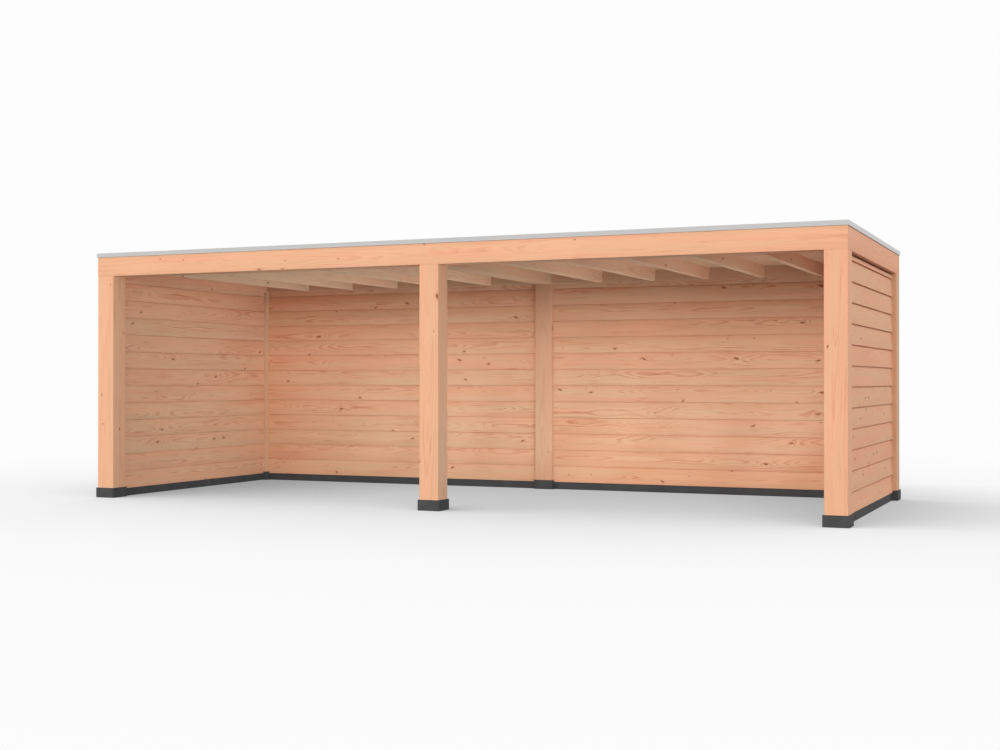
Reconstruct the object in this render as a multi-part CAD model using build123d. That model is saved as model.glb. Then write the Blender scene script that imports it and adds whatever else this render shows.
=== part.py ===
from build123d import *
import math
import os

# A flat-roofed timber patio cover: two bays long, open at the front, boarded at both ends and the back.
# Millimetres. X runs along the length, Y from the open front to the back, Z up.
# The origin is on the ground at the centre of the plan.

# Frame, over the outer faces of the corner posts
frame_length = 7600.0
frame_depth = 3040.0

# Square posts, one at each corner and one in the middle of each long side
post_side = 195.0
post_height = 2170.0
timber_arris = 5.0

# Cast block under each post
foot_overhang = 12.5
foot_height = 100.0
foot_chamfer = 6.0

# Ring beam on the posts, as wide as they are
beam_height = 195.0

# Roof timbers between the long beams, undersides level with the beams
rafters_per_bay = 5
rafter_width = 60.0
rafter_depth = 120.0
rafter_arris = 3.0

# Roof: boards on the rafters, a rubber sheet over them, a metal trim on the beams
deck_thickness = 18.0
membrane_thickness = 1.5
membrane_setback = 10.0
trim_height = 42.0
trim_overhang = 8.0
trim_wall = 2.0
trim_flange = 80.0
trim_lip = 18.0

# Sill blocks on the ground between the feet
sill_width = 100.0
sill_height = 80.0
sill_chamfer = 4.0

# Walls: lapped boards outside, flat boards inside, both set back from the post faces
wall_recess = 40.0
course_height = 178.0
lap_butt = 26.0
lap_top = 12.0
lining_thickness = 20.0
lining_joint_width = 5.0
lining_joint_depth = 3.0

# Length by which every cutting block passes the piece it cuts
cut_overrun = 10.0

# Levels and places that follow from the sizes above
post_top = foot_height + post_height
beam_top = post_top + beam_height
rafter_top = post_top + rafter_depth
deck_top = rafter_top + deck_thickness
foot_side = post_side + 2 * foot_overhang
wall_height = post_top - sill_height
half_length = frame_length / 2
half_depth = frame_depth / 2
post_row_x = half_length - post_side / 2
post_row_y = half_depth - post_side / 2
bay_clear = post_row_x - post_side
depth_clear = frame_depth - 2 * post_side
bay_centre_x = post_row_x / 2

ON_GROUND = (Align.CENTER, Align.CENTER, Align.MIN)
UP = Vector(0, 0, 1)


def arrised_timber(length, width, height, radius):
    """A squared timber along X, standing on its underside, with its four long edges eased."""
    timber = Box(length, width, height, align=ON_GROUND)
    return fillet(timber.edges().filter_by(Axis.X), radius)


def post():
    """A square post standing on its foot."""
    timber = Box(post_side, post_side, post_height, align=ON_GROUND)
    eased = fillet(timber.edges().filter_by(Axis.Z), timber_arris)
    return Pos(0, 0, foot_height) * eased


def foot():
    """The block that keeps a post off the ground, wider than the post all round."""
    block = Box(foot_side, foot_side, foot_height, align=ON_GROUND)
    return chamfer(block.faces().sort_by(Axis.Z)[-1].edges(), foot_chamfer)


def sill(clear_length):
    """A block along X between two feet, with its two upper long edges broken."""
    block = Box(clear_length - 2 * foot_overhang, sill_width, sill_height, align=ON_GROUND)
    long_edges = block.faces().sort_by(Axis.Z)[-1].edges().filter_by(Axis.X)
    return chamfer(long_edges, sill_chamfer)


def mitre_plane(side_x, side_y):
    """The upright plane through a corner of the frame that parts a long piece from a side piece."""
    corner = (side_x * half_length, side_y * half_depth, 0)
    return Plane(origin=corner, z_dir=(side_x, -side_y, 0))


def long_beam(side_x, side_y):
    """Half of the front or back beam: mitred at its corner, square where it meets the other half."""
    timber = arrised_timber(half_length, post_side, beam_height, timber_arris)
    placed = Pos(side_x * half_length / 2, side_y * post_row_y, post_top) * timber
    return split(placed, bisect_by=mitre_plane(side_x, side_y), keep=Keep.BOTTOM)


def side_beam(side_x):
    """The beam over one end wall, mitred at both corners."""
    timber = arrised_timber(frame_depth, post_side, beam_height, timber_arris)
    placed = Pos(side_x * post_row_x, 0, post_top) * Rot(Z=90) * timber
    for side_y in (-1, 1):
        placed = split(placed, bisect_by=mitre_plane(side_x, side_y), keep=Keep.TOP)
    return placed


def roof_timber(width, centre_x):
    """A timber from the front beam to the back beam, with its lower edges eased."""
    timber = Box(depth_clear, width, rafter_depth, align=ON_GROUND)
    lower_edges = timber.faces().sort_by(Axis.Z)[0].edges().filter_by(Axis.X)
    return Pos(centre_x, 0, post_top) * Rot(Z=90) * fillet(lower_edges, rafter_arris)


def rafter_places(side_x):
    """Centre lines of one bay's rafters, left to right, with equal clear gaps between them."""
    gap = (bay_clear - rafters_per_bay * rafter_width) / (rafters_per_bay + 1)
    first = side_x * bay_centre_x - bay_clear / 2 + gap + rafter_width / 2
    return [first + index * (gap + rafter_width) for index in range(rafters_per_bay)]


def roof_membrane():
    """The rubber sheet: flat on the boards, turned up inside the ring beam and lapped over its top."""
    lap_length = frame_length - 2 * membrane_setback
    lap_depth = frame_depth - 2 * membrane_setback
    lap = Pos(0, 0, beam_top) * Box(lap_length, lap_depth, membrane_thickness, align=ON_GROUND)
    well_length = frame_length - 2 * post_side
    well_height = beam_top + membrane_thickness - deck_top
    well = Pos(0, 0, deck_top) * Box(well_length, depth_clear, well_height, align=ON_GROUND)
    inside = Box(
        well_length - 2 * membrane_thickness,
        depth_clear - 2 * membrane_thickness,
        well_height + cut_overrun,
        align=ON_GROUND,
    )
    return lap + well - Pos(0, 0, deck_top + membrane_thickness) * inside


def section_along(outline, outward, start):
    """A section drawn outwards and upwards from a start point, as a face that runs along the wall line."""
    run = outward.cross(UP)
    plane = Plane(origin=start, x_dir=outward, z_dir=run)
    return plane * make_face(Polyline(*outline, close=True))


def roof_trim(outward, run_length, face_distance):
    """One side of the metal roof edge: upright face, flange on the beam and a lip turned in at the top."""
    face_back = trim_overhang - trim_wall
    flange_end = trim_overhang - trim_flange
    lip_end = trim_overhang - trim_lip
    flange_top = membrane_thickness + trim_wall
    lip_under = trim_height - trim_wall
    outline = [
        (trim_overhang, 0),
        (trim_overhang, trim_height),
        (lip_end, trim_height),
        (lip_end, lip_under),
        (face_back, lip_under),
        (face_back, flange_top),
        (flange_end, flange_top),
        (flange_end, membrane_thickness),
        (face_back, membrane_thickness),
        (face_back, 0),
    ]
    whole_run = run_length + 2 * trim_overhang
    start = outward * face_distance - outward.cross(UP) * (whole_run / 2) + UP * beam_top
    return extrude(section_along(outline, outward, start), amount=whole_run)


def long_trim(side_y):
    """The trim along the front or the back, mitred at both ends."""
    trim = roof_trim(Vector(0, side_y, 0), frame_length, half_depth)
    for side_x in (-1, 1):
        trim = split(trim, bisect_by=mitre_plane(side_x, side_y), keep=Keep.BOTTOM)
    return trim


def side_trim(side_x):
    """The trim along one end, mitred at both ends."""
    trim = roof_trim(Vector(side_x, 0, 0), frame_depth, half_length)
    for side_y in (-1, 1):
        trim = split(trim, bisect_by=mitre_plane(side_x, side_y), keep=Keep.TOP)
    return trim


def course_levels():
    """Heights above the sill where each course of boards starts."""
    return [index * course_height for index in range(math.ceil(wall_height / course_height))]


def lapped_outline():
    """Section of the outside boards: each tapers up from a thick lower edge that laps the board below."""
    outline = [(0, 0)]
    for level in course_levels():
        rise = min(course_height, wall_height - level)
        thin_edge = lap_butt - (lap_butt - lap_top) * rise / course_height
        outline += [(lap_butt, level), (thin_edge, level + rise)]
    return outline + [(0, wall_height)]


def lining_outline():
    """Section of the inside boards: flat, with a shallow V where two boards meet."""
    half_joint = lining_joint_width / 2
    groove_bottom = lining_thickness - lining_joint_depth
    outline = [(0, 0), (lining_thickness, 0)]
    for level in course_levels()[1:]:
        if level + half_joint < wall_height:
            outline += [
                (lining_thickness, level - half_joint),
                (groove_bottom, level),
                (lining_thickness, level + half_joint),
            ]
    return outline + [(lining_thickness, wall_height), (0, wall_height)]


def wall_skin(outline, facing, thickness, wall_centre, clear_length):
    """Boards between two posts, on the side that facing points to, notched round the feet."""
    run = facing.cross(UP)
    board_back = post_side / 2 - wall_recess - thickness
    start = wall_centre + facing * board_back - run * (clear_length / 2) + UP * sill_height
    boards = extrude(section_along(outline, facing, start), amount=clear_length)
    foot_block = Box(foot_side, foot_side, foot_height, align=ON_GROUND)
    for end in (-1, 1):
        foot_centre = wall_centre + run * (end * (clear_length + post_side) / 2)
        boards -= Pos(*foot_centre) * foot_block
    return boards


nodes = {}

# Posts and their feet
for row_name, side_y in (("front", -1), ("back", 1)):
    for place_name, side_x in (("left", -1), ("middle", 0), ("right", 1)):
        place = Pos(side_x * post_row_x, side_y * post_row_y, 0)
        nodes[f"{row_name}_{place_name}_foot"] = place * foot()
        nodes[f"{row_name}_{place_name}_post"] = place * post()

# Ring beam and the cross beam between the middle posts
for side_name, side_x in (("left", -1), ("right", 1)):
    nodes[f"front_{side_name}_beam"] = long_beam(side_x, -1)
    nodes[f"back_{side_name}_beam"] = long_beam(side_x, 1)
    nodes[f"{side_name}_beam"] = side_beam(side_x)
nodes["middle_beam"] = roof_timber(post_side, 0)

# Rafters, numbered from left to right in each bay
for bay_name, side_x in (("left", -1), ("right", 1)):
    for number, centre_x in enumerate(rafter_places(side_x), start=1):
        nodes[f"{bay_name}_bay_rafter_{number}"] = roof_timber(rafter_width, centre_x)

# Walls and sills: name, centre of the wall on the ground, outward direction, clear length
walls = [
    ("left", Vector(-post_row_x, 0, 0), Vector(-1, 0, 0), depth_clear),
    ("right", Vector(post_row_x, 0, 0), Vector(1, 0, 0), depth_clear),
    ("back_left", Vector(-bay_centre_x, post_row_y, 0), Vector(0, 1, 0), bay_clear),
    ("back_right", Vector(bay_centre_x, post_row_y, 0), Vector(0, 1, 0), bay_clear),
]
for name, centre, outward, clear_length in walls:
    turn = 90 if outward.Y == 0 else 0
    nodes[f"{name}_sill"] = Pos(*centre) * Rot(Z=turn) * sill(clear_length)
    nodes[f"{name}_wall_outer_boards"] = wall_skin(
        lapped_outline(), outward, lap_butt, centre, clear_length
    )
    nodes[f"{name}_wall_inner_boards"] = wall_skin(
        lining_outline(), -outward, lining_thickness, centre, clear_length
    )

# Roof
roof_boards = Box(frame_length - 2 * post_side, depth_clear, deck_thickness, align=ON_GROUND)
nodes["roof_deck"] = Pos(0, 0, rafter_top) * roof_boards
nodes["roof_membrane"] = roof_membrane()
nodes["front_roof_trim"] = long_trim(-1)
nodes["back_roof_trim"] = long_trim(1)
nodes["left_roof_trim"] = side_trim(-1)
nodes["right_roof_trim"] = side_trim(1)

os.makedirs("parts", exist_ok=True)
for node_name, shape in nodes.items():
    export_step(shape, f"parts/{node_name}.step")
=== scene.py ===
import bpy
import math
import numpy as np
from mathutils import Matrix, Vector


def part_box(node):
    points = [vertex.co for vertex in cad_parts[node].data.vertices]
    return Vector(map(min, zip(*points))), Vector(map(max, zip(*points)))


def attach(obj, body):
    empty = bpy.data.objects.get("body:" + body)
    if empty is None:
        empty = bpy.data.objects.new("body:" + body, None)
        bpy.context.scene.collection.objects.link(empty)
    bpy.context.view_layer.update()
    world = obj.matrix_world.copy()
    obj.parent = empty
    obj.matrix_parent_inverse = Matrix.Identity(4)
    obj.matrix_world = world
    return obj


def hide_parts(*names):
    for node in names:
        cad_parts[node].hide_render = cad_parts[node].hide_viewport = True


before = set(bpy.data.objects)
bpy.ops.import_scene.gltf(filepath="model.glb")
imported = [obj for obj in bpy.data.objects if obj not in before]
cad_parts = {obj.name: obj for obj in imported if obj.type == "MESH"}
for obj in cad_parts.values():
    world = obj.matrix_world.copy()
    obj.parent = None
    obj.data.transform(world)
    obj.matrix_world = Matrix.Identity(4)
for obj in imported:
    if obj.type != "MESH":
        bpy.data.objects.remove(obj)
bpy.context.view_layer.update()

# Feet: square blocks cast in anthracite concrete, one under each post.
# They stand on the ground and keep the timber dry, so each is a little wider than its post.
# The edges come out of the mould slightly rounded, and the faces are matt with fine pores.

row_names = ("front", "back")
place_names = ("left", "middle", "right")
foot_edge = 0.004
edge_steps = 3
off_ground = 0.01
smooth_angle = 40
pore_depth = 0.0008


def block(name, low, high):
    """Adds a cube as large as the box between two corners, with its place in its mesh."""
    bpy.ops.object.select_all(action="DESELECT")
    bpy.ops.mesh.primitive_cube_add(size=1, location=(low + high) / 2, scale=high - low)
    piece = bpy.context.object
    piece.name = name
    piece.data.name = name
    bpy.ops.object.transform_apply(location=True, rotation=True, scale=True)
    return piece


def open_for_edit(piece):
    """Makes one piece the only one selected and goes into edit mode on its edges."""
    bpy.ops.object.select_all(action="DESELECT")
    piece.select_set(True)
    bpy.context.view_layer.objects.active = piece
    bpy.ops.object.mode_set(mode="EDIT")
    bpy.ops.mesh.select_mode(type="EDGE")


def select_edges(piece, wanted):
    """Selects in edit mode the edges whose two ends satisfy a test."""
    open_for_edit(piece)
    bpy.ops.mesh.select_all(action="DESELECT")
    bpy.ops.object.mode_set(mode="OBJECT")
    points = piece.data.vertices
    for edge in piece.data.edges:
        edge.select = wanted(points[edge.vertices[0]].co, points[edge.vertices[1]].co)
    bpy.ops.object.mode_set(mode="EDIT")


def round_edges(piece, radius, segments, wanted):
    """Bevels the edges that satisfy a test."""
    select_edges(piece, wanted)
    bpy.ops.mesh.bevel(offset=radius, segments=segments, affect="EDGES")
    bpy.ops.object.mode_set(mode="OBJECT")


def smooth_finish(piece):
    """Shades the rounded edges smooth and keeps the flat faces flat."""
    bpy.ops.object.select_all(action="DESELECT")
    piece.select_set(True)
    bpy.context.view_layer.objects.active = piece
    bpy.ops.object.shade_smooth_by_angle(angle=math.radians(smooth_angle))


def fit(piece, material, node):
    """Gives a piece its finish and puts it in place of its node."""
    piece.data.materials.clear()
    piece.data.materials.append(material)
    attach(piece, "root")
    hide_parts(node)


class Shade:
    """One output of a material's nodes. Arithmetic on it adds Math nodes."""

    def __init__(self, tree, socket):
        self.tree = tree
        self.socket = socket

    def node(self, kind, settings, inputs, output=0):
        """Adds any node: its settings first, then values or links for its sockets."""
        made = self.tree.nodes.new(kind)
        for name, value in settings.items():
            setattr(made, name, value)
        for name, value in inputs.items():
            if isinstance(value, Shade):
                self.tree.links.new(value.socket, made.inputs[name])
            else:
                made.inputs[name].default_value = value
        return Shade(self.tree, made.outputs[output])

    def maths(self, operation, *values):
        """Adds one Math node on values or links."""
        inputs = dict(enumerate(values))
        return self.node("ShaderNodeMath", {"operation": operation}, inputs)

    def __add__(self, other):
        return self.maths("ADD", self, other)

    def __sub__(self, other):
        return self.maths("SUBTRACT", self, other)

    def __rsub__(self, other):
        return self.maths("SUBTRACT", other, self)

    def __mul__(self, other):
        return self.maths("MULTIPLY", self, other)

    def __truediv__(self, other):
        return self.maths("DIVIDE", self, other)

    __radd__ = __add__
    __rmul__ = __mul__

    def parts(self):
        """The three numbers of a vector."""
        split = self.node("ShaderNodeSeparateXYZ", {}, {0: self})
        return [Shade(self.tree, out) for out in split.socket.node.outputs]

    def joined(self, x, y, z):
        """A vector from three numbers."""
        return self.node("ShaderNodeCombineXYZ", {}, {0: x, 1: y, 2: z})

    def noise(self, vector, scale, detail, roughness=0.5):
        """Soft noise about 0.5 over a vector."""
        sockets = {"Vector": vector, "Scale": scale, "Detail": detail, "Roughness": roughness}
        return self.node("ShaderNodeTexNoise", {}, sockets)

    def fade(self, low, high):
        """Goes smoothly from 0 at low to 1 at high."""
        settings = {"interpolation_type": "SMOOTHSTEP"}
        return self.node("ShaderNodeMapRange", settings, {0: self, 1: low, 2: high, 3: 0.0, 4: 1.0})

    def mix(self, first, second):
        """Two colours mixed by this value."""
        return self.node("ShaderNodeMix", {"data_type": "RGBA"}, {0: self, 6: first, 7: second}, 2)


def new_material(name):
    """A material with only its shader, and a starting point for expressions."""
    material = bpy.data.materials.new(name)
    material.use_nodes = True
    tree = material.node_tree
    shader = tree.nodes["Principled BSDF"]
    return material, shader, Shade(tree, None)


def feed(shader, **sockets):
    """Links or sets the shader's sockets, written with underscores for spaces."""
    for name, value in sockets.items():
        target = shader.inputs[name.replace("_", " ")]
        if isinstance(value, Shade):
            value.tree.links.new(value.socket, target)
        else:
            target.default_value = value


def srgb(red, green, blue):
    """A colour read off a screen, 0 to 255, as the shader's linear colour."""
    shares = [level / 255 for level in (red, green, blue)]
    linear = [s / 12.92 if s <= 0.04045 else ((s + 0.055) / 1.055) ** 2.4 for s in shares]
    return (*linear, 1.0)


concrete_dark = srgb(58, 58, 59)
concrete_dust = srgb(88, 88, 88)


def anthracite_concrete():
    """Through-coloured concrete: fine sand, paler dust, small pores."""
    material, shader, start = new_material("anthracite_concrete")
    place = start.node("ShaderNodeTexCoord", {}, {}, "Object")
    cloud = start.noise(place, 9.0, 4.0)
    sand = start.noise(place, 420.0, 2.0)
    pore = start.node("ShaderNodeTexVoronoi", {}, {"Vector": place, "Scale": 130.0})
    pit = 1 - pore.fade(0.12, 0.26)
    shade = (cloud - 0.5) * 0.7 + (sand - 0.5) * 0.5 + 0.5 - pit * 0.25
    colour = shade.mix(concrete_dark, concrete_dust)
    relief = sand * 0.5 - pit
    bump = start.node("ShaderNodeBump", {}, {"Strength": 0.5, "Distance": pore_depth, "Height": relief})
    feed(shader, Base_Color=colour, Roughness=0.82 + (sand - 0.5) * 0.2, Normal=bump)
    feed(shader, Specular_IOR_Level=0.15)
    return material


concrete = anthracite_concrete()
for row_name in row_names:
    for place_name in place_names:
        node = f"{row_name}_{place_name}_foot"
        foot = block(node + "_block", *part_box(node))
        round_edges(foot, foot_edge, edge_steps, lambda a, b: max(a.z, b.z) > off_ground)
        smooth_finish(foot)
        fit(foot, concrete, node)

# Sills: the same anthracite concrete in long blocks on the ground between the feet.
# The wall boards start on them, so the wood stays clear of splashing water.

sill_names = ("left", "right", "back_left", "back_right")
for name in sill_names:
    node = f"{name}_sill"
    sill = block(node + "_block", *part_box(node))
    round_edges(sill, foot_edge, edge_steps, lambda a, b: min(a.z, b.z) > off_ground)
    smooth_finish(sill)
    fit(sill, concrete, node)

# Posts: squared softwood, planed, with the heart of the tree inside and the arrises rounded.
# They stand on the feet, and the ring beam lies on their tops.

UP = Vector((0, 0, 1))
X = Vector((1, 0, 0))
timber_arris = 0.005
arris_steps = 4
long_edge = 0.5
heart_offset = 0.02
log_length = 60
draw = np.random.default_rng(27)


def lay_grain(piece, along, face, pith_depth, pith_side, centre, tone):
    """Stores each point's place in its log: along the grain, and across it from the heart of the tree."""
    side = face.cross(along)
    mesh = piece.data
    points = np.empty(3 * len(mesh.vertices))
    mesh.vertices.foreach_get("co", points)
    points = points.reshape(-1, 3) - np.array(centre)
    place = np.empty_like(points)
    place[:, 0] = points @ np.array(along) + draw.uniform(0, log_length)
    place[:, 1] = points @ np.array(side) - pith_side
    place[:, 2] = points @ np.array(face) + pith_depth
    mesh.attributes.new("grain", "FLOAT_VECTOR", "POINT").data.foreach_set("vector", place.ravel())
    tones = np.full(len(mesh.vertices), tone)
    mesh.attributes.new("tone", "FLOAT", "POINT").data.foreach_set("value", tones)


def heart_grain(piece, along, low, high):
    """Grain of a timber sawn round the heart, with the heart a little off its middle."""
    across = X if along.z else UP
    corner = (across + across.cross(along)).normalized()
    lay_grain(
        piece,
        along,
        corner,
        draw.uniform(-heart_offset, heart_offset),
        draw.uniform(-heart_offset, heart_offset),
        (low + high) / 2,
        draw.uniform(0, 1),
    )


heart_drift_side = 0.07
heart_drift_depth = 0.09
log_radius = 0.11
small_knot = 0.0032
knot_growth = 0.0063
knot_ragged = 0.005
knot_core = srgb(166, 100, 64)
knot_rim_dark = srgb(114, 56, 27)
ring_sway = 0.02
fibre_relief = 0.0005


def softwood(name, colours, ring_width, ring_share, streak_share, knot_spacing):
    """Planed knotty softwood that follows the grain stored in each piece."""
    pale, late, tan, pink = colours
    material, shader, start = new_material(name)
    grain = start.node("ShaderNodeAttribute", {"attribute_name": "grain"}, {}, "Vector")
    tone = start.node("ShaderNodeAttribute", {"attribute_name": "tone"}, {}, "Fac")
    along, side, depth = grain.parts()

    # The heart of the tree wanders slowly, which gives the pointed arches on sawn faces
    slow_wave = {"W": along, "Scale": 0.55, "Detail": 2.0}
    drift = start.node("ShaderNodeTexNoise", {"noise_dimensions": "1D"}, slow_wave, "Color")
    drift_side, drift_depth, slow = drift.parts()
    side = side + (drift_side - 0.5) * heart_drift_side
    depth = depth + (drift_depth - 0.5) * heart_drift_depth

    # Knots are branches that leave the heart, placed along and round the log
    turn = start.maths("ARCTAN2", side, depth)
    girth = turn * log_radius
    branch_place = start.joined(along, girth, 0.0)
    branch = start.node(
        "ShaderNodeTexVoronoi",
        {"voronoi_dimensions": "2D"},
        {"Vector": branch_place, "Scale": 1 / knot_spacing},
        "Position",
    )
    chance = Shade(start.tree, branch.socket.node.outputs["Color"])
    has_knot, knot_size, knot_age = chance.parts()
    knot_along, knot_girth, _ = branch.parts()
    off_along = along - knot_along
    heart_reach = start.maths("SQRT", side * side + depth * depth)
    off_girth = (girth - knot_girth) / log_radius * heart_reach + off_along * (knot_age - 0.5) * 0.7
    radius = small_knot + knot_size * knot_size * knot_growth
    missing = has_knot.maths("GREATER_THAN", has_knot, 0.42)
    distance = start.maths("SQRT", off_along * off_along * 0.15 + off_girth * off_girth) + missing
    ragged = (start.noise(grain, 90.0, 2.0) - 0.5) * knot_ragged
    knot_reach = (distance + ragged) / radius
    knot = 1 - knot_reach.fade(0.75, 1.15)
    knot_rim = knot * knot_reach.fade(0.35, 0.95)
    halo = 1 - knot_reach.fade(0.8, 2.6)
    eye_reach = (off_along * off_along * 0.12 + off_girth * off_girth) / (radius * radius)
    eye = start.maths("EXPONENT", eye_reach * -0.16)
    bulge = eye * (1 - missing)

    # Growth rings: pale early wood that darkens to a late line, then breaks off sharply
    sway = start.noise(start.joined(along * 1.3, side * 12.0, depth * 12.0), 1.0, 3.0)
    reach = heart_reach + (sway - 0.5) * ring_sway + bulge * radius * 1.1
    year_wave = {"W": reach, "Scale": 45.0, "Detail": 1.0}
    year = start.node("ShaderNodeTexNoise", {"noise_dimensions": "1D"}, year_wave)
    ring = start.maths("FRACT", reach / ring_width + year * 2.2)
    late_wood = ring.fade(0.4, 0.9) * (1 - ring.fade(0.92, 1.0))
    strength = start.noise(start.joined(along * 0.8, side * 9.0, depth * 9.0), 1.0, 1.0)
    late_wood = late_wood * strength.fade(0.28, 0.72)

    # Colour: each board between tan and pink, with drifting patches, red streaks and fine fibres
    patch = start.noise(start.joined(along * 0.7, side * 15.0, depth * 15.0), 1.0, 3.0)
    warmth = (tone - 0.5) * 0.8 + (patch - 0.5) * 2.4 + 0.5
    ground = warmth.fade(0.0, 1.0).mix(tan, pink)
    ground = (slow - 0.2).mix(ground, pale)
    streak_place = start.joined(along * 2.4, side * 60.0, depth * 60.0)
    streak = start.noise(streak_place, 1.0, 4.0, 0.65).fade(0.54, 0.76)
    fibre = start.noise(start.joined(along * 9.0, side * 750.0, depth * 750.0), 1.0, 2.0)
    darkness = late_wood * ring_share + streak * (late_wood * 0.4 + 0.6) * streak_share
    darkness = darkness + (fibre - 0.5) * 0.3 + halo * 0.25
    colour = darkness.mix(ground, late)
    colour = knot.mix(colour, knot_core)
    colour = (knot_rim * (0.15 + knot_age * 0.65)).mix(colour, knot_rim_dark)
    bump = start.node("ShaderNodeBump", {}, {"Strength": 0.3, "Distance": fibre_relief, "Height": fibre})
    feed(shader, Base_Color=colour, Roughness=0.6 + fibre * 0.12 - late_wood * 0.08, Normal=bump)
    feed(shader, Specular_IOR_Level=0.3)
    return material


frame_colours = (srgb(247, 189, 151), srgb(208, 123, 84), srgb(234, 181, 142), srgb(241, 171, 135))
frame_figure = {"ring_width": 0.011, "ring_share": 0.28, "streak_share": 0.6, "knot_spacing": 0.3}
frame_wood = softwood("frame_softwood", frame_colours, **frame_figure)
# The back posts, back beams and middle beam get a darker copy of the frame's colours. This is painted
# shade for where they stand in the room's shade, not a different wood.
back_painted_shade_colours = (srgb(230, 183, 148), srgb(192, 114, 79), srgb(218, 173, 137), srgb(224, 165, 132))
back_figure = {"ring_width": 0.011, "ring_share": 0.22, "streak_share": 0.35, "knot_spacing": 0.32}
back_painted_shade_wood = softwood("back_softwood_painted_shade", back_painted_shade_colours, **back_figure)
for row_name in row_names:
    for place_name in place_names:
        node = f"{row_name}_{place_name}_post"
        low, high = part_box(node)
        post = block(node + "_timber", low, high)
        round_edges(post, timber_arris, arris_steps, lambda a, b: abs(a.z - b.z) > long_edge)
        smooth_finish(post)
        heart_grain(post, UP, low, high)
        fit(post, frame_wood if row_name == "front" else back_painted_shade_wood, node)

# Ring beam: the same squared timber laid flat on the posts, mitred at the four corners.
# Each long side is two lengths that meet on the middle post.

side_of = {"left": -1, "right": 1}
row_of = {"front": -1, "back": 1}
Y = Vector((0, 1, 0))
frame_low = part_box("front_left_beam")[0]
frame_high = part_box("back_right_beam")[1]


def saw(piece, point, drop_side):
    """Cuts a piece through on a plane and closes it, dropping what lies on one side."""
    open_for_edit(piece)
    bpy.ops.mesh.select_all(action="SELECT")
    bpy.ops.mesh.bisect(plane_co=point, plane_no=drop_side, use_fill=True, clear_outer=True)
    bpy.ops.object.mode_set(mode="OBJECT")


def beam_corner(side, row):
    """The outer corner of the frame on one side of one row, and the way across its mitre."""
    corner = Vector((
        frame_high.x if side > 0 else frame_low.x,
        frame_high.y if row > 0 else frame_low.y,
        frame_low.z,
    ))
    return corner, Vector((side, -row, 0)).normalized()


for side_name, side in side_of.items():
    for row_name, row in row_of.items():
        node = f"{row_name}_{side_name}_beam"
        low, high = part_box(node)
        beam = block(node + "_timber", low, high)
        round_edges(beam, timber_arris, arris_steps, lambda a, b: abs(a.x - b.x) > long_edge)
        saw(beam, *beam_corner(side, row))
        smooth_finish(beam)
        heart_grain(beam, X, low, high)
        fit(beam, frame_wood if row_name == "front" else back_painted_shade_wood, node)
    node = f"{side_name}_beam"
    low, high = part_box(node)
    beam = block(node + "_timber", low, high)
    round_edges(beam, timber_arris, arris_steps, lambda a, b: abs(a.y - b.y) > long_edge)
    for row in row_of.values():
        corner, across = beam_corner(side, row)
        saw(beam, corner, -across)
    smooth_finish(beam)
    heart_grain(beam, Y, low, high)
    fit(beam, frame_wood, node)

# Middle beam and rafters: planed roof timbers from the front beam to the back beam.
# Their undersides are level with the ring beam, and the roof boards lie on their tops.

# The rafters get a paler copy of the frame's colours. This is painted light that lifts the shade under the
# roof, not a different wood.
roof_painted_light_colours = (srgb(246, 206, 170), srgb(206, 126, 88), srgb(236, 194, 156), srgb(241, 186, 152))
roof_figure = {"ring_width": 0.008, "ring_share": 0.3, "streak_share": 0.3, "knot_spacing": 0.3}
roof_painted_light_wood = softwood("roof_softwood_painted_light", roof_painted_light_colours, **roof_figure)
roof_arris = 0.003
rafters_per_bay = 5
rafter_heart_depths = (0.04, 0.12)
rafter_heart_side = 0.04
rafter_numbers = range(1, rafters_per_bay + 1)
rafter_nodes = [f"{side_name}_bay_rafter_{number}" for side_name in side_of for number in rafter_numbers]
for node in ["middle_beam"] + rafter_nodes:
    low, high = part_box(node)
    timber = block(node + "_timber", low, high)
    bottom = low.z + roof_arris
    round_edges(
        timber,
        roof_arris,
        edge_steps,
        lambda a, b: abs(a.y - b.y) > long_edge and max(a.z, b.z) < bottom,
    )
    smooth_finish(timber)
    if node == "middle_beam":
        heart_grain(timber, Y, low, high)
        fit(timber, back_painted_shade_wood, node)
    else:
        lay_grain(
            timber,
            Y,
            X,
            draw.uniform(*rafter_heart_depths),
            draw.uniform(-rafter_heart_side, rafter_heart_side),
            (low + high) / 2,
            draw.uniform(),
        )
        fit(timber, roof_painted_light_wood, node)

# Outside wall boards: lapped softwood boards, thick at the lower edge and thin at the top.
# They are laid in courses from the sill up, each with its lower edge over the tongue of the last.
# The top course is ripped to its height and leaves a narrow gap under the beam.

board_figure = {"ring_width": 0.007, "ring_share": 0.3, "streak_share": 0.5, "knot_spacing": 0.26}
board_wood = softwood("board_softwood", frame_colours, **board_figure)
course_height = 0.178
lap_top = 0.012
lap_tongue = 0.003
lap_slot = 0.0105
top_gap = 0.018
lap_edge = 0.0025
board_heart_depths = (0.05, 0.14)
board_heart_side = 0.06
facing_share = 0.9
wall_facing = {
    "left": -X,
    "right": X,
    "back_left": Y,
    "back_right": Y,
}


def select_faces(piece, wanted):
    """Selects in edit mode the faces whose middle and normal satisfy a test."""
    open_for_edit(piece)
    bpy.ops.mesh.select_mode(type="FACE")
    bpy.ops.mesh.select_all(action="DESELECT")
    bpy.ops.object.mode_set(mode="OBJECT")
    for face in piece.data.polygons:
        face.select = wanted(face.center, face.normal)
    bpy.ops.object.mode_set(mode="EDIT")


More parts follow.
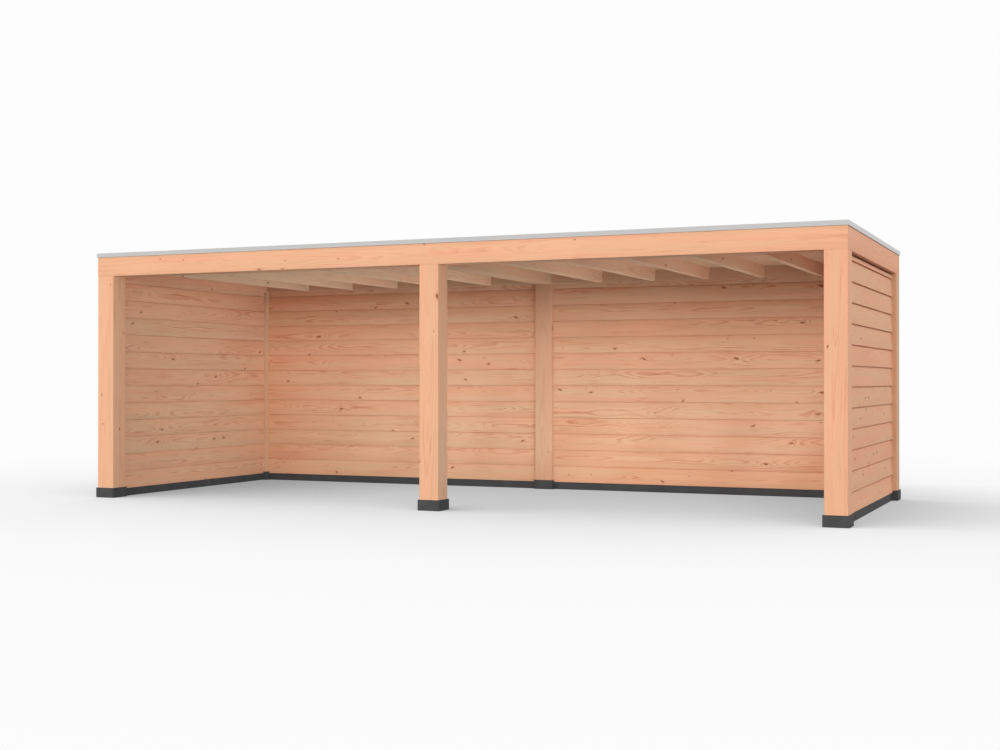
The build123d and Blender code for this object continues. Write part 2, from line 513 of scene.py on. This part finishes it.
def tongued_board(name, low, high, facing, slot, tongue, lip):
    """A board with a thin tongue along its top and a thicker face below it."""
    top = low.z + course_height
    shoulder = top - slot
    thickness = abs((high - low).dot(facing))
    board = block(name, low, Vector((high.x, high.y, top)))
    select_faces(board, lambda middle, normal: normal.dot(facing) > facing_share)
    bpy.ops.transform.translate(value=facing * (tongue - thickness))
    bpy.ops.mesh.select_all(action="SELECT")
    bpy.ops.mesh.bisect(plane_co=(0, 0, shoulder), plane_no=UP)
    bpy.ops.object.mode_set(mode="OBJECT")
    select_faces(board, lambda middle, normal: normal.dot(facing) > facing_share and middle.z < shoulder)
    bpy.ops.mesh.extrude_region_move(TRANSFORM_OT_translate={"value": facing * (lip - tongue)})
    bpy.ops.object.mode_set(mode="OBJECT")
    return board


def copy_up(piece, rise):
    """A copy of a board with its own mesh, lifted to its course."""
    twin = piece.copy()
    twin.data = piece.data.copy()
    twin.data.transform(Matrix.Translation(UP * rise))
    bpy.context.collection.objects.link(twin)
    return twin


def notch(board, foot_node):
    """Cuts a board round the foot that it meets."""
    low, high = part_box(foot_node)
    cutter = block("foot_cutter", low, high)
    cut = board.modifiers.new("notch", "BOOLEAN")
    cut.operation = "DIFFERENCE"
    cut.object = cutter
    bpy.ops.object.select_all(action="DESELECT")
    bpy.context.view_layer.objects.active = board
    bpy.ops.object.modifier_apply(modifier="notch")
    bpy.data.objects.remove(cutter)


def join_boards(boards, name):
    """Joins boards into one piece."""
    bpy.ops.object.select_all(action="DESELECT")
    for board in boards:
        board.select_set(True)
    bpy.context.view_layer.objects.active = boards[0]
    bpy.ops.object.join()
    joined = bpy.context.object
    joined.name = name
    joined.data.name = name
    return joined


def stack_courses(first, node, along, facing, feet, gap):
    """Fills a wall with copies of its first board, and joins them as one piece."""
    low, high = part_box(node)
    high.z -= gap
    courses = []
    rise = 0
    while low.z + rise < high.z:
        board = copy_up(first, rise)
        if low.z + rise + course_height > high.z:
            saw(board, Vector((0, 0, high.z)), UP)
        if rise == 0:
            for foot_node in feet:
                notch(board, foot_node)
        smooth_finish(board)
        middle = (low + high) / 2
        middle.z = low.z + rise + course_height / 2
        lay_grain(
            board,
            along,
            facing,
            draw.uniform(*board_heart_depths),
            draw.uniform(-board_heart_side, board_heart_side),
            middle,
            draw.uniform(),
        )
        courses.append(board)
        rise += course_height
    bpy.data.objects.remove(first)
    return join_boards(courses, node + "_courses")


wall_feet = {
    "left": ("front_left_foot", "back_left_foot"),
    "right": ("front_right_foot", "back_right_foot"),
    "back_left": ("back_left_foot", "back_middle_foot"),
    "back_right": ("back_middle_foot", "back_right_foot"),
}
for name, facing in wall_facing.items():
    node = f"{name}_wall_outer_boards"
    low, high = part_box(node)
    along = Y if facing.x else X
    butt = abs((high - low).dot(facing))
    face = min(low.dot(facing), high.dot(facing)) + lap_top - lap_edge
    first = tongued_board("lapped_board", low, high, facing, lap_slot, lap_tongue, lap_top)
    lower = low.z + lap_edge
    select_edges(first, lambda a, b: max(a.z, b.z) < lower and min(a.dot(facing), b.dot(facing)) > face)
    bpy.ops.transform.translate(value=facing * (butt - lap_top))
    bpy.ops.mesh.bevel(offset=lap_edge, segments=edge_steps, affect="EDGES")
    bpy.ops.object.mode_set(mode="OBJECT")
    wall = stack_courses(first, node, along, facing, wall_feet[name], top_gap)
    fit(wall, board_wood, node)

# Inside wall boards: flat softwood boards with eased edges and a narrow groove at each joint.
# Each has a tongue along its top, and the joints are level with the laps outside.

# The lining gets a slightly darker, duller copy of the frame's colours. This is painted shade for the
# inside of the room, not a different wood.
lining_painted_shade_colours = (srgb(241, 190, 152), srgb(201, 113, 77), srgb(228, 180, 142), srgb(236, 170, 134))
lining_figure = {"ring_width": 0.007, "ring_share": 0.55, "streak_share": 0.9, "knot_spacing": 0.26}
lining_painted_shade_wood = softwood("lining_softwood_painted_shade", lining_painted_shade_colours, **lining_figure)
groove_height = 0.0055
groove_depth = 0.013
joint_edge = 0.0015
joint_steps = 2
for name, outward in wall_facing.items():
    node = f"{name}_wall_inner_boards"
    facing = -outward
    low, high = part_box(node)
    along = Y if facing.x else X
    thickness = abs((high - low).dot(facing))
    face = max(low.dot(facing), high.dot(facing)) - joint_edge
    tongue = thickness - groove_depth
    first = tongued_board("lining_board", low, high, facing, groove_height, tongue, thickness)
    round_edges(
        first,
        joint_edge,
        joint_steps,
        lambda a, b: abs((a - b).dot(along)) > long_edge and min(a.dot(facing), b.dot(facing)) > face,
    )
    wall = stack_courses(first, node, along, facing, wall_feet[name], 0)
    fit(wall, lining_painted_shade_wood, node)

# Roof deck: softwood boards laid across the rafters, two lengths to a row that meet on the middle beam.
# Their lower edges are eased, so the underside shows a fine V at each joint.

# The deck gets a duller, slightly darker copy of the frame's colours. This is painted shade for the
# underside of the roof, not a different wood.
deck_painted_shade_colours = (srgb(236, 192, 156), srgb(196, 118, 82), srgb(224, 180, 142), srgb(230, 172, 138))
deck_figure = {"ring_width": 0.008, "ring_share": 0.35, "streak_share": 0.4, "knot_spacing": 0.26}
deck_painted_shade_wood = softwood("deck_softwood_painted_shade", deck_painted_shade_colours, **deck_figure)
deck_edge = 0.0025
deck_gap = 0.001
deck_rows = 18
deck_heart_depths = (0.04, 0.12)
deck_heart_side = 0.05
low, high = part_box("roof_deck")
row_depth = (high.y - low.y) / deck_rows
under = low.z + deck_edge
deck_boards = []
for row_number in range(deck_rows):
    for left, right in ((low.x, 0), (0, high.x)):
        front = low.y + row_number * row_depth
        board_low = Vector((left, front, low.z))
        board_high = Vector((right, front + row_depth - deck_gap, high.z))
        board = block("deck_board", board_low, board_high)
        round_edges(
            board,
            deck_edge,
            joint_steps,
            lambda a, b: max(a.z, b.z) < under and abs(a.x - b.x) > long_edge,
        )
        smooth_finish(board)
        lay_grain(
            board,
            X,
            -UP,
            draw.uniform(*deck_heart_depths),
            draw.uniform(-deck_heart_side, deck_heart_side),
            (board_low + board_high) / 2,
            draw.uniform(),
        )
        deck_boards.append(board)
deck = join_boards(deck_boards, "roof_deck_boards")
fit(deck, deck_painted_shade_wood, "roof_deck")

# Roof membrane: one sheet of black rubber, without a seam, that still shows the folds of its package.
# It is glued to the deck, turned up the inside of the beams and lapped over their tops.

fold_length = 1.22
fold_depth = 0.94
fold_core = 0.002
fold_width = 0.014
fold_wander = 0.012
swell_height = 0.01
rubber_black = srgb(46, 46, 48)
rubber_dust = srgb(86, 86, 86)


def roof_rubber():
    """Matt rubber sheet: fold lines from its package, a slight unevenness, dust and fine grit."""
    material, shader, start = new_material("roof_rubber")
    place = start.node("ShaderNodeTexCoord", {}, {}, "Object")
    x, y, _ = place.parts()
    wander = (start.noise(place, 3.0, 2.0) - 0.5) * fold_wander
    across = start.maths("ABSOLUTE", start.maths("FRACT", x / fold_length + 0.5) - 0.5) * fold_length
    lengthways = start.maths("ABSOLUTE", start.maths("FRACT", y / fold_depth + 0.5) - 0.5) * fold_depth
    fold = 1 - (start.maths("MINIMUM", across, lengthways) + wander).fade(fold_core, fold_width)
    fold = fold * start.noise(place, 1.7, 3.0).fade(0.36, 0.66)
    dust = start.noise(place, 1.1, 6.0, 0.62)
    speck = start.noise(place, 19.0, 5.0, 0.7)
    grit = start.noise(place, 260.0, 2.0)
    shade = (dust - 0.5) * 0.7 + (speck - 0.5) * 0.6 + (grit - 0.5) * 0.4 + fold * 0.14 + 0.4
    colour = shade.mix(rubber_black, rubber_dust)
    swell = start.noise(place, 7.0, 3.0) + grit * 0.02 + fold * 0.12
    bump = start.node("ShaderNodeBump", {}, {"Strength": 0.4, "Distance": swell_height, "Height": swell})
    feed(shader, Base_Color=colour, Roughness=0.6 + dust * 0.25, Normal=bump)
    return material


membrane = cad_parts["roof_membrane"]
membrane.data.materials.clear()
membrane.data.materials.append(roof_rubber())

# Roof trim: an angle of extruded aluminium, left plain, that covers the edge of the rubber sheet.
# The four lengths are mitred at the corners and screwed through their flange to the beams.

line_depth = 0.0004
film_dull = srgb(192, 191, 190)
film_bright = srgb(204, 203, 201)


def satin_aluminium():
    """Plain extruded aluminium: satin, with faint lines along the length and a thin dull film."""
    material, shader, start = new_material("satin_aluminium")
    place = start.node("ShaderNodeTexCoord", {}, {}, "Object")
    x, y, z = place.parts()
    lines = start.noise(start.joined(x * 0.6, y * 0.6, z * 420.0), 1.0, 2.0)
    film = start.noise(place, 2.4, 4.0)
    colour = ((film - 0.5) * 0.9 + (lines - 0.5) * 0.3 + 0.5).mix(film_dull, film_bright)
    bump = start.node("ShaderNodeBump", {}, {"Strength": 0.04, "Distance": line_depth, "Height": lines})
    feed(shader, Base_Color=colour, Roughness=0.5 + (film - 0.5) * 0.2, Normal=bump, Metallic=0.75)
    return material


aluminium = satin_aluminium()
for trim_name in ("front", "back", "left", "right"):
    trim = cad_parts[f"{trim_name}_roof_trim"]
    trim.data.materials.clear()
    trim.data.materials.append(aluminium)

# Studio: a pale floor that runs out of sight and an even white surround.
# The camera sees the floor as glowing white paper with a painted shadow that darkens it where the object
# closes it in.
# Wide soft lamps stand all round, and weak ones in the room lift the shade under the roof.

floor_size = 400
paper_grey = (0.12, 0.12, 0.12, 1)
white_level = 0.983
paper_white = 0.96
deepest_shadow = 0.1
shadow_samples = 12
soft_reach = 6.0
near_reach = 2.5
near_side = Vector((-0.6, -1.3, 1.0)).normalized()
fade_start = 6.5
fade_end = 13.0


def seen_by_camera(start):
    """1 where the camera looks, also in gloss and through glass, and 0 where light is gathered."""
    ray = start.node("ShaderNodeLightPath", {}, {}, "Is Camera Ray")
    seen = ray
    for kind in ("Is Glossy Ray", "Is Transmission Ray"):
        seen = start.maths("MAXIMUM", seen, Shade(start.tree, ray.socket.node.outputs[kind]))
    return seen


bpy.ops.object.select_all(action="DESELECT")
bpy.ops.mesh.primitive_plane_add(size=floor_size)
floor = bpy.context.object
floor.name = "studio_floor"
paper, shader, start = new_material("studio_paper")
feed(shader, Base_Color=paper_grey, Roughness=0.9, Specular_IOR_Level=0.0)
place = start.node("ShaderNodeTexCoord", {}, {}, "Object")
from_middle = start.node("ShaderNodeVectorMath", {"operation": "LENGTH"}, {0: place}, "Value")
away = from_middle.fade(fade_start, fade_end)
seen = seen_by_camera(start)
# Painted shadow: two ambient occlusion readings darken the floor's glow where the object hides the sky,
# and the lamps cast no shadow that the camera sees.
shadow = {"samples": shadow_samples}
soft = start.node("ShaderNodeAmbientOcclusion", shadow, {"Distance": soft_reach}, "AO")
near_way = start.node("ShaderNodeVectorMath", {"operation": "NORMALIZE"}, {0: near_side})
near_sockets = {"Distance": near_reach, "Normal": near_way}
near = start.node("ShaderNodeAmbientOcclusion", shadow, near_sockets, "AO")
open_share = (soft + near) / 2 * (1 - deepest_shadow) + deepest_shadow
painted_shadow_glow = open_share * (1 - away) * paper_white + away * white_level
sheet = start.node("ShaderNodeEmission", {}, {"Color": (1, 1, 1, 1), "Strength": painted_shadow_glow})
sheet = start.node("ShaderNodeMixShader", {}, {0: seen, 1: Shade(start.tree, shader.outputs[0]), 2: sheet})
start.tree.links.new(sheet.socket, start.tree.nodes["Material Output"].inputs["Surface"])
floor.data.materials.append(paper)

world = bpy.data.worlds.new("studio_surround")
bpy.context.scene.world = world
world.use_nodes = True
surround = world.node_tree
surround_light = 0.66
background = surround.nodes["Background"]
background.inputs["Color"].default_value = (1, 1, 1, 1)
strength = seen_by_camera(Shade(surround, None)) * (white_level - surround_light) + surround_light
surround.links.new(strength.socket, background.inputs["Strength"])

plain = (1, 1, 1)
cool = (0.57, 0.9, 1.06)
warm = (1, 0.74, 0.58)
full_spread = 180
fill_spread = 145


def softbox(name, place, target, size, power, colour=plain, spread=full_spread, mirrored=True):
    """Adds a soft lamp that looks at a place and stays out of the picture."""
    bpy.ops.object.light_add(type="AREA", location=place)
    lamp = bpy.context.object
    lamp.name = name
    lamp.rotation_euler = (target - place).to_track_quat("-Z", "Y").to_euler()
    lamp.data.shape = "RECTANGLE"
    lamp.data.size, lamp.data.size_y = size
    lamp.data.energy = power
    lamp.data.color = colour
    lamp.data.spread = math.radians(spread)
    lamp.visible_camera = False
    lamp.visible_glossy = mirrored


# Wide lamps round the object: place, size, power, and whether the metal mirrors the lamp
wide_lamps = {
    "high_left": ((-16.7, -9.6, 24), (12, 12), 1300, True),
    "left_front": ((-25.7, -30.6, 7.5), (24, 9), 3600, False),
    "front": ((0, -40, 7.5), (24, 9), 4850, False),
    "right_front": ((28.3, -28.3, 3.2), (24, 6), 2950, True),
    "right": ((33, 10, 22), (24, 7), 3150, True),
    "back": ((-12, 34, 18), (24, 9), 3600, True),
    "left": ((-34, 10, 18), (24, 7), 2400, True),
}
room_middle = Vector((0, 0, 1.2))
for name, (place, size, power, mirrored) in wide_lamps.items():
    softbox(f"{name}_softbox", Vector(place), room_middle, size, power, mirrored=mirrored)

# Weak lamps in the room: a row low down that shines up at the rafters' right faces
fill_ends = (-1.5, 3.2)
fill_depth = 0.38
fill_height = 0.18
fill_size = (1.3, 0.3)
fill_way = Vector((-0.78, -0.16, 0.62))
fill_powers = (6.2, 6.3, 6.5, 7, 7.2, 9)
fill_places = np.linspace(*fill_ends, len(fill_powers))
for number, (reach, power) in enumerate(zip(fill_places, fill_powers), 1):
    spot = Vector((reach, fill_depth, fill_height))
    softbox(f"floor_fill_{number}", spot, spot + fill_way, fill_size, power, cool, fill_spread)

# A panel flat on the right wall for the nearest rafter, and a strip for the foot of the back wall
end_spot = Vector((3.6, 0, 1.1))
end_size = (1.8, 1.4)
end_power = 8
softbox("end_fill", end_spot, end_spot - X, end_size, end_power, cool)
wall_spot = Vector((1.85, 0.95, 0.1))
wall_way = Vector((0, 0.8, 0.6))
wall_size = (3.2, 0.1)
wall_power = 0.8
softbox("wall_fill", wall_spot, wall_spot + wall_way, wall_size, wall_power, warm, fill_spread)

# Camera: a normal lens at chest height, to the right of the open front.
# Its place, turn and lens are fitted to the straight edges in the photograph.

camera_place = Vector((5.736, -13.039, 1.194))
camera_turn = 23.546
camera_level = 90
camera_lift = 0.2535
camera_lens = 50.23
film_width = 36
bpy.ops.object.camera_add(location=camera_place)
camera = bpy.context.object
camera.rotation_euler = (math.radians(camera_level + camera_lift), 0, math.radians(camera_turn))
camera.data.lens = camera_lens
camera.data.sensor_width = film_width
bpy.context.scene.camera = camera
bpy.context.scene.view_settings.view_transform = "Standard"
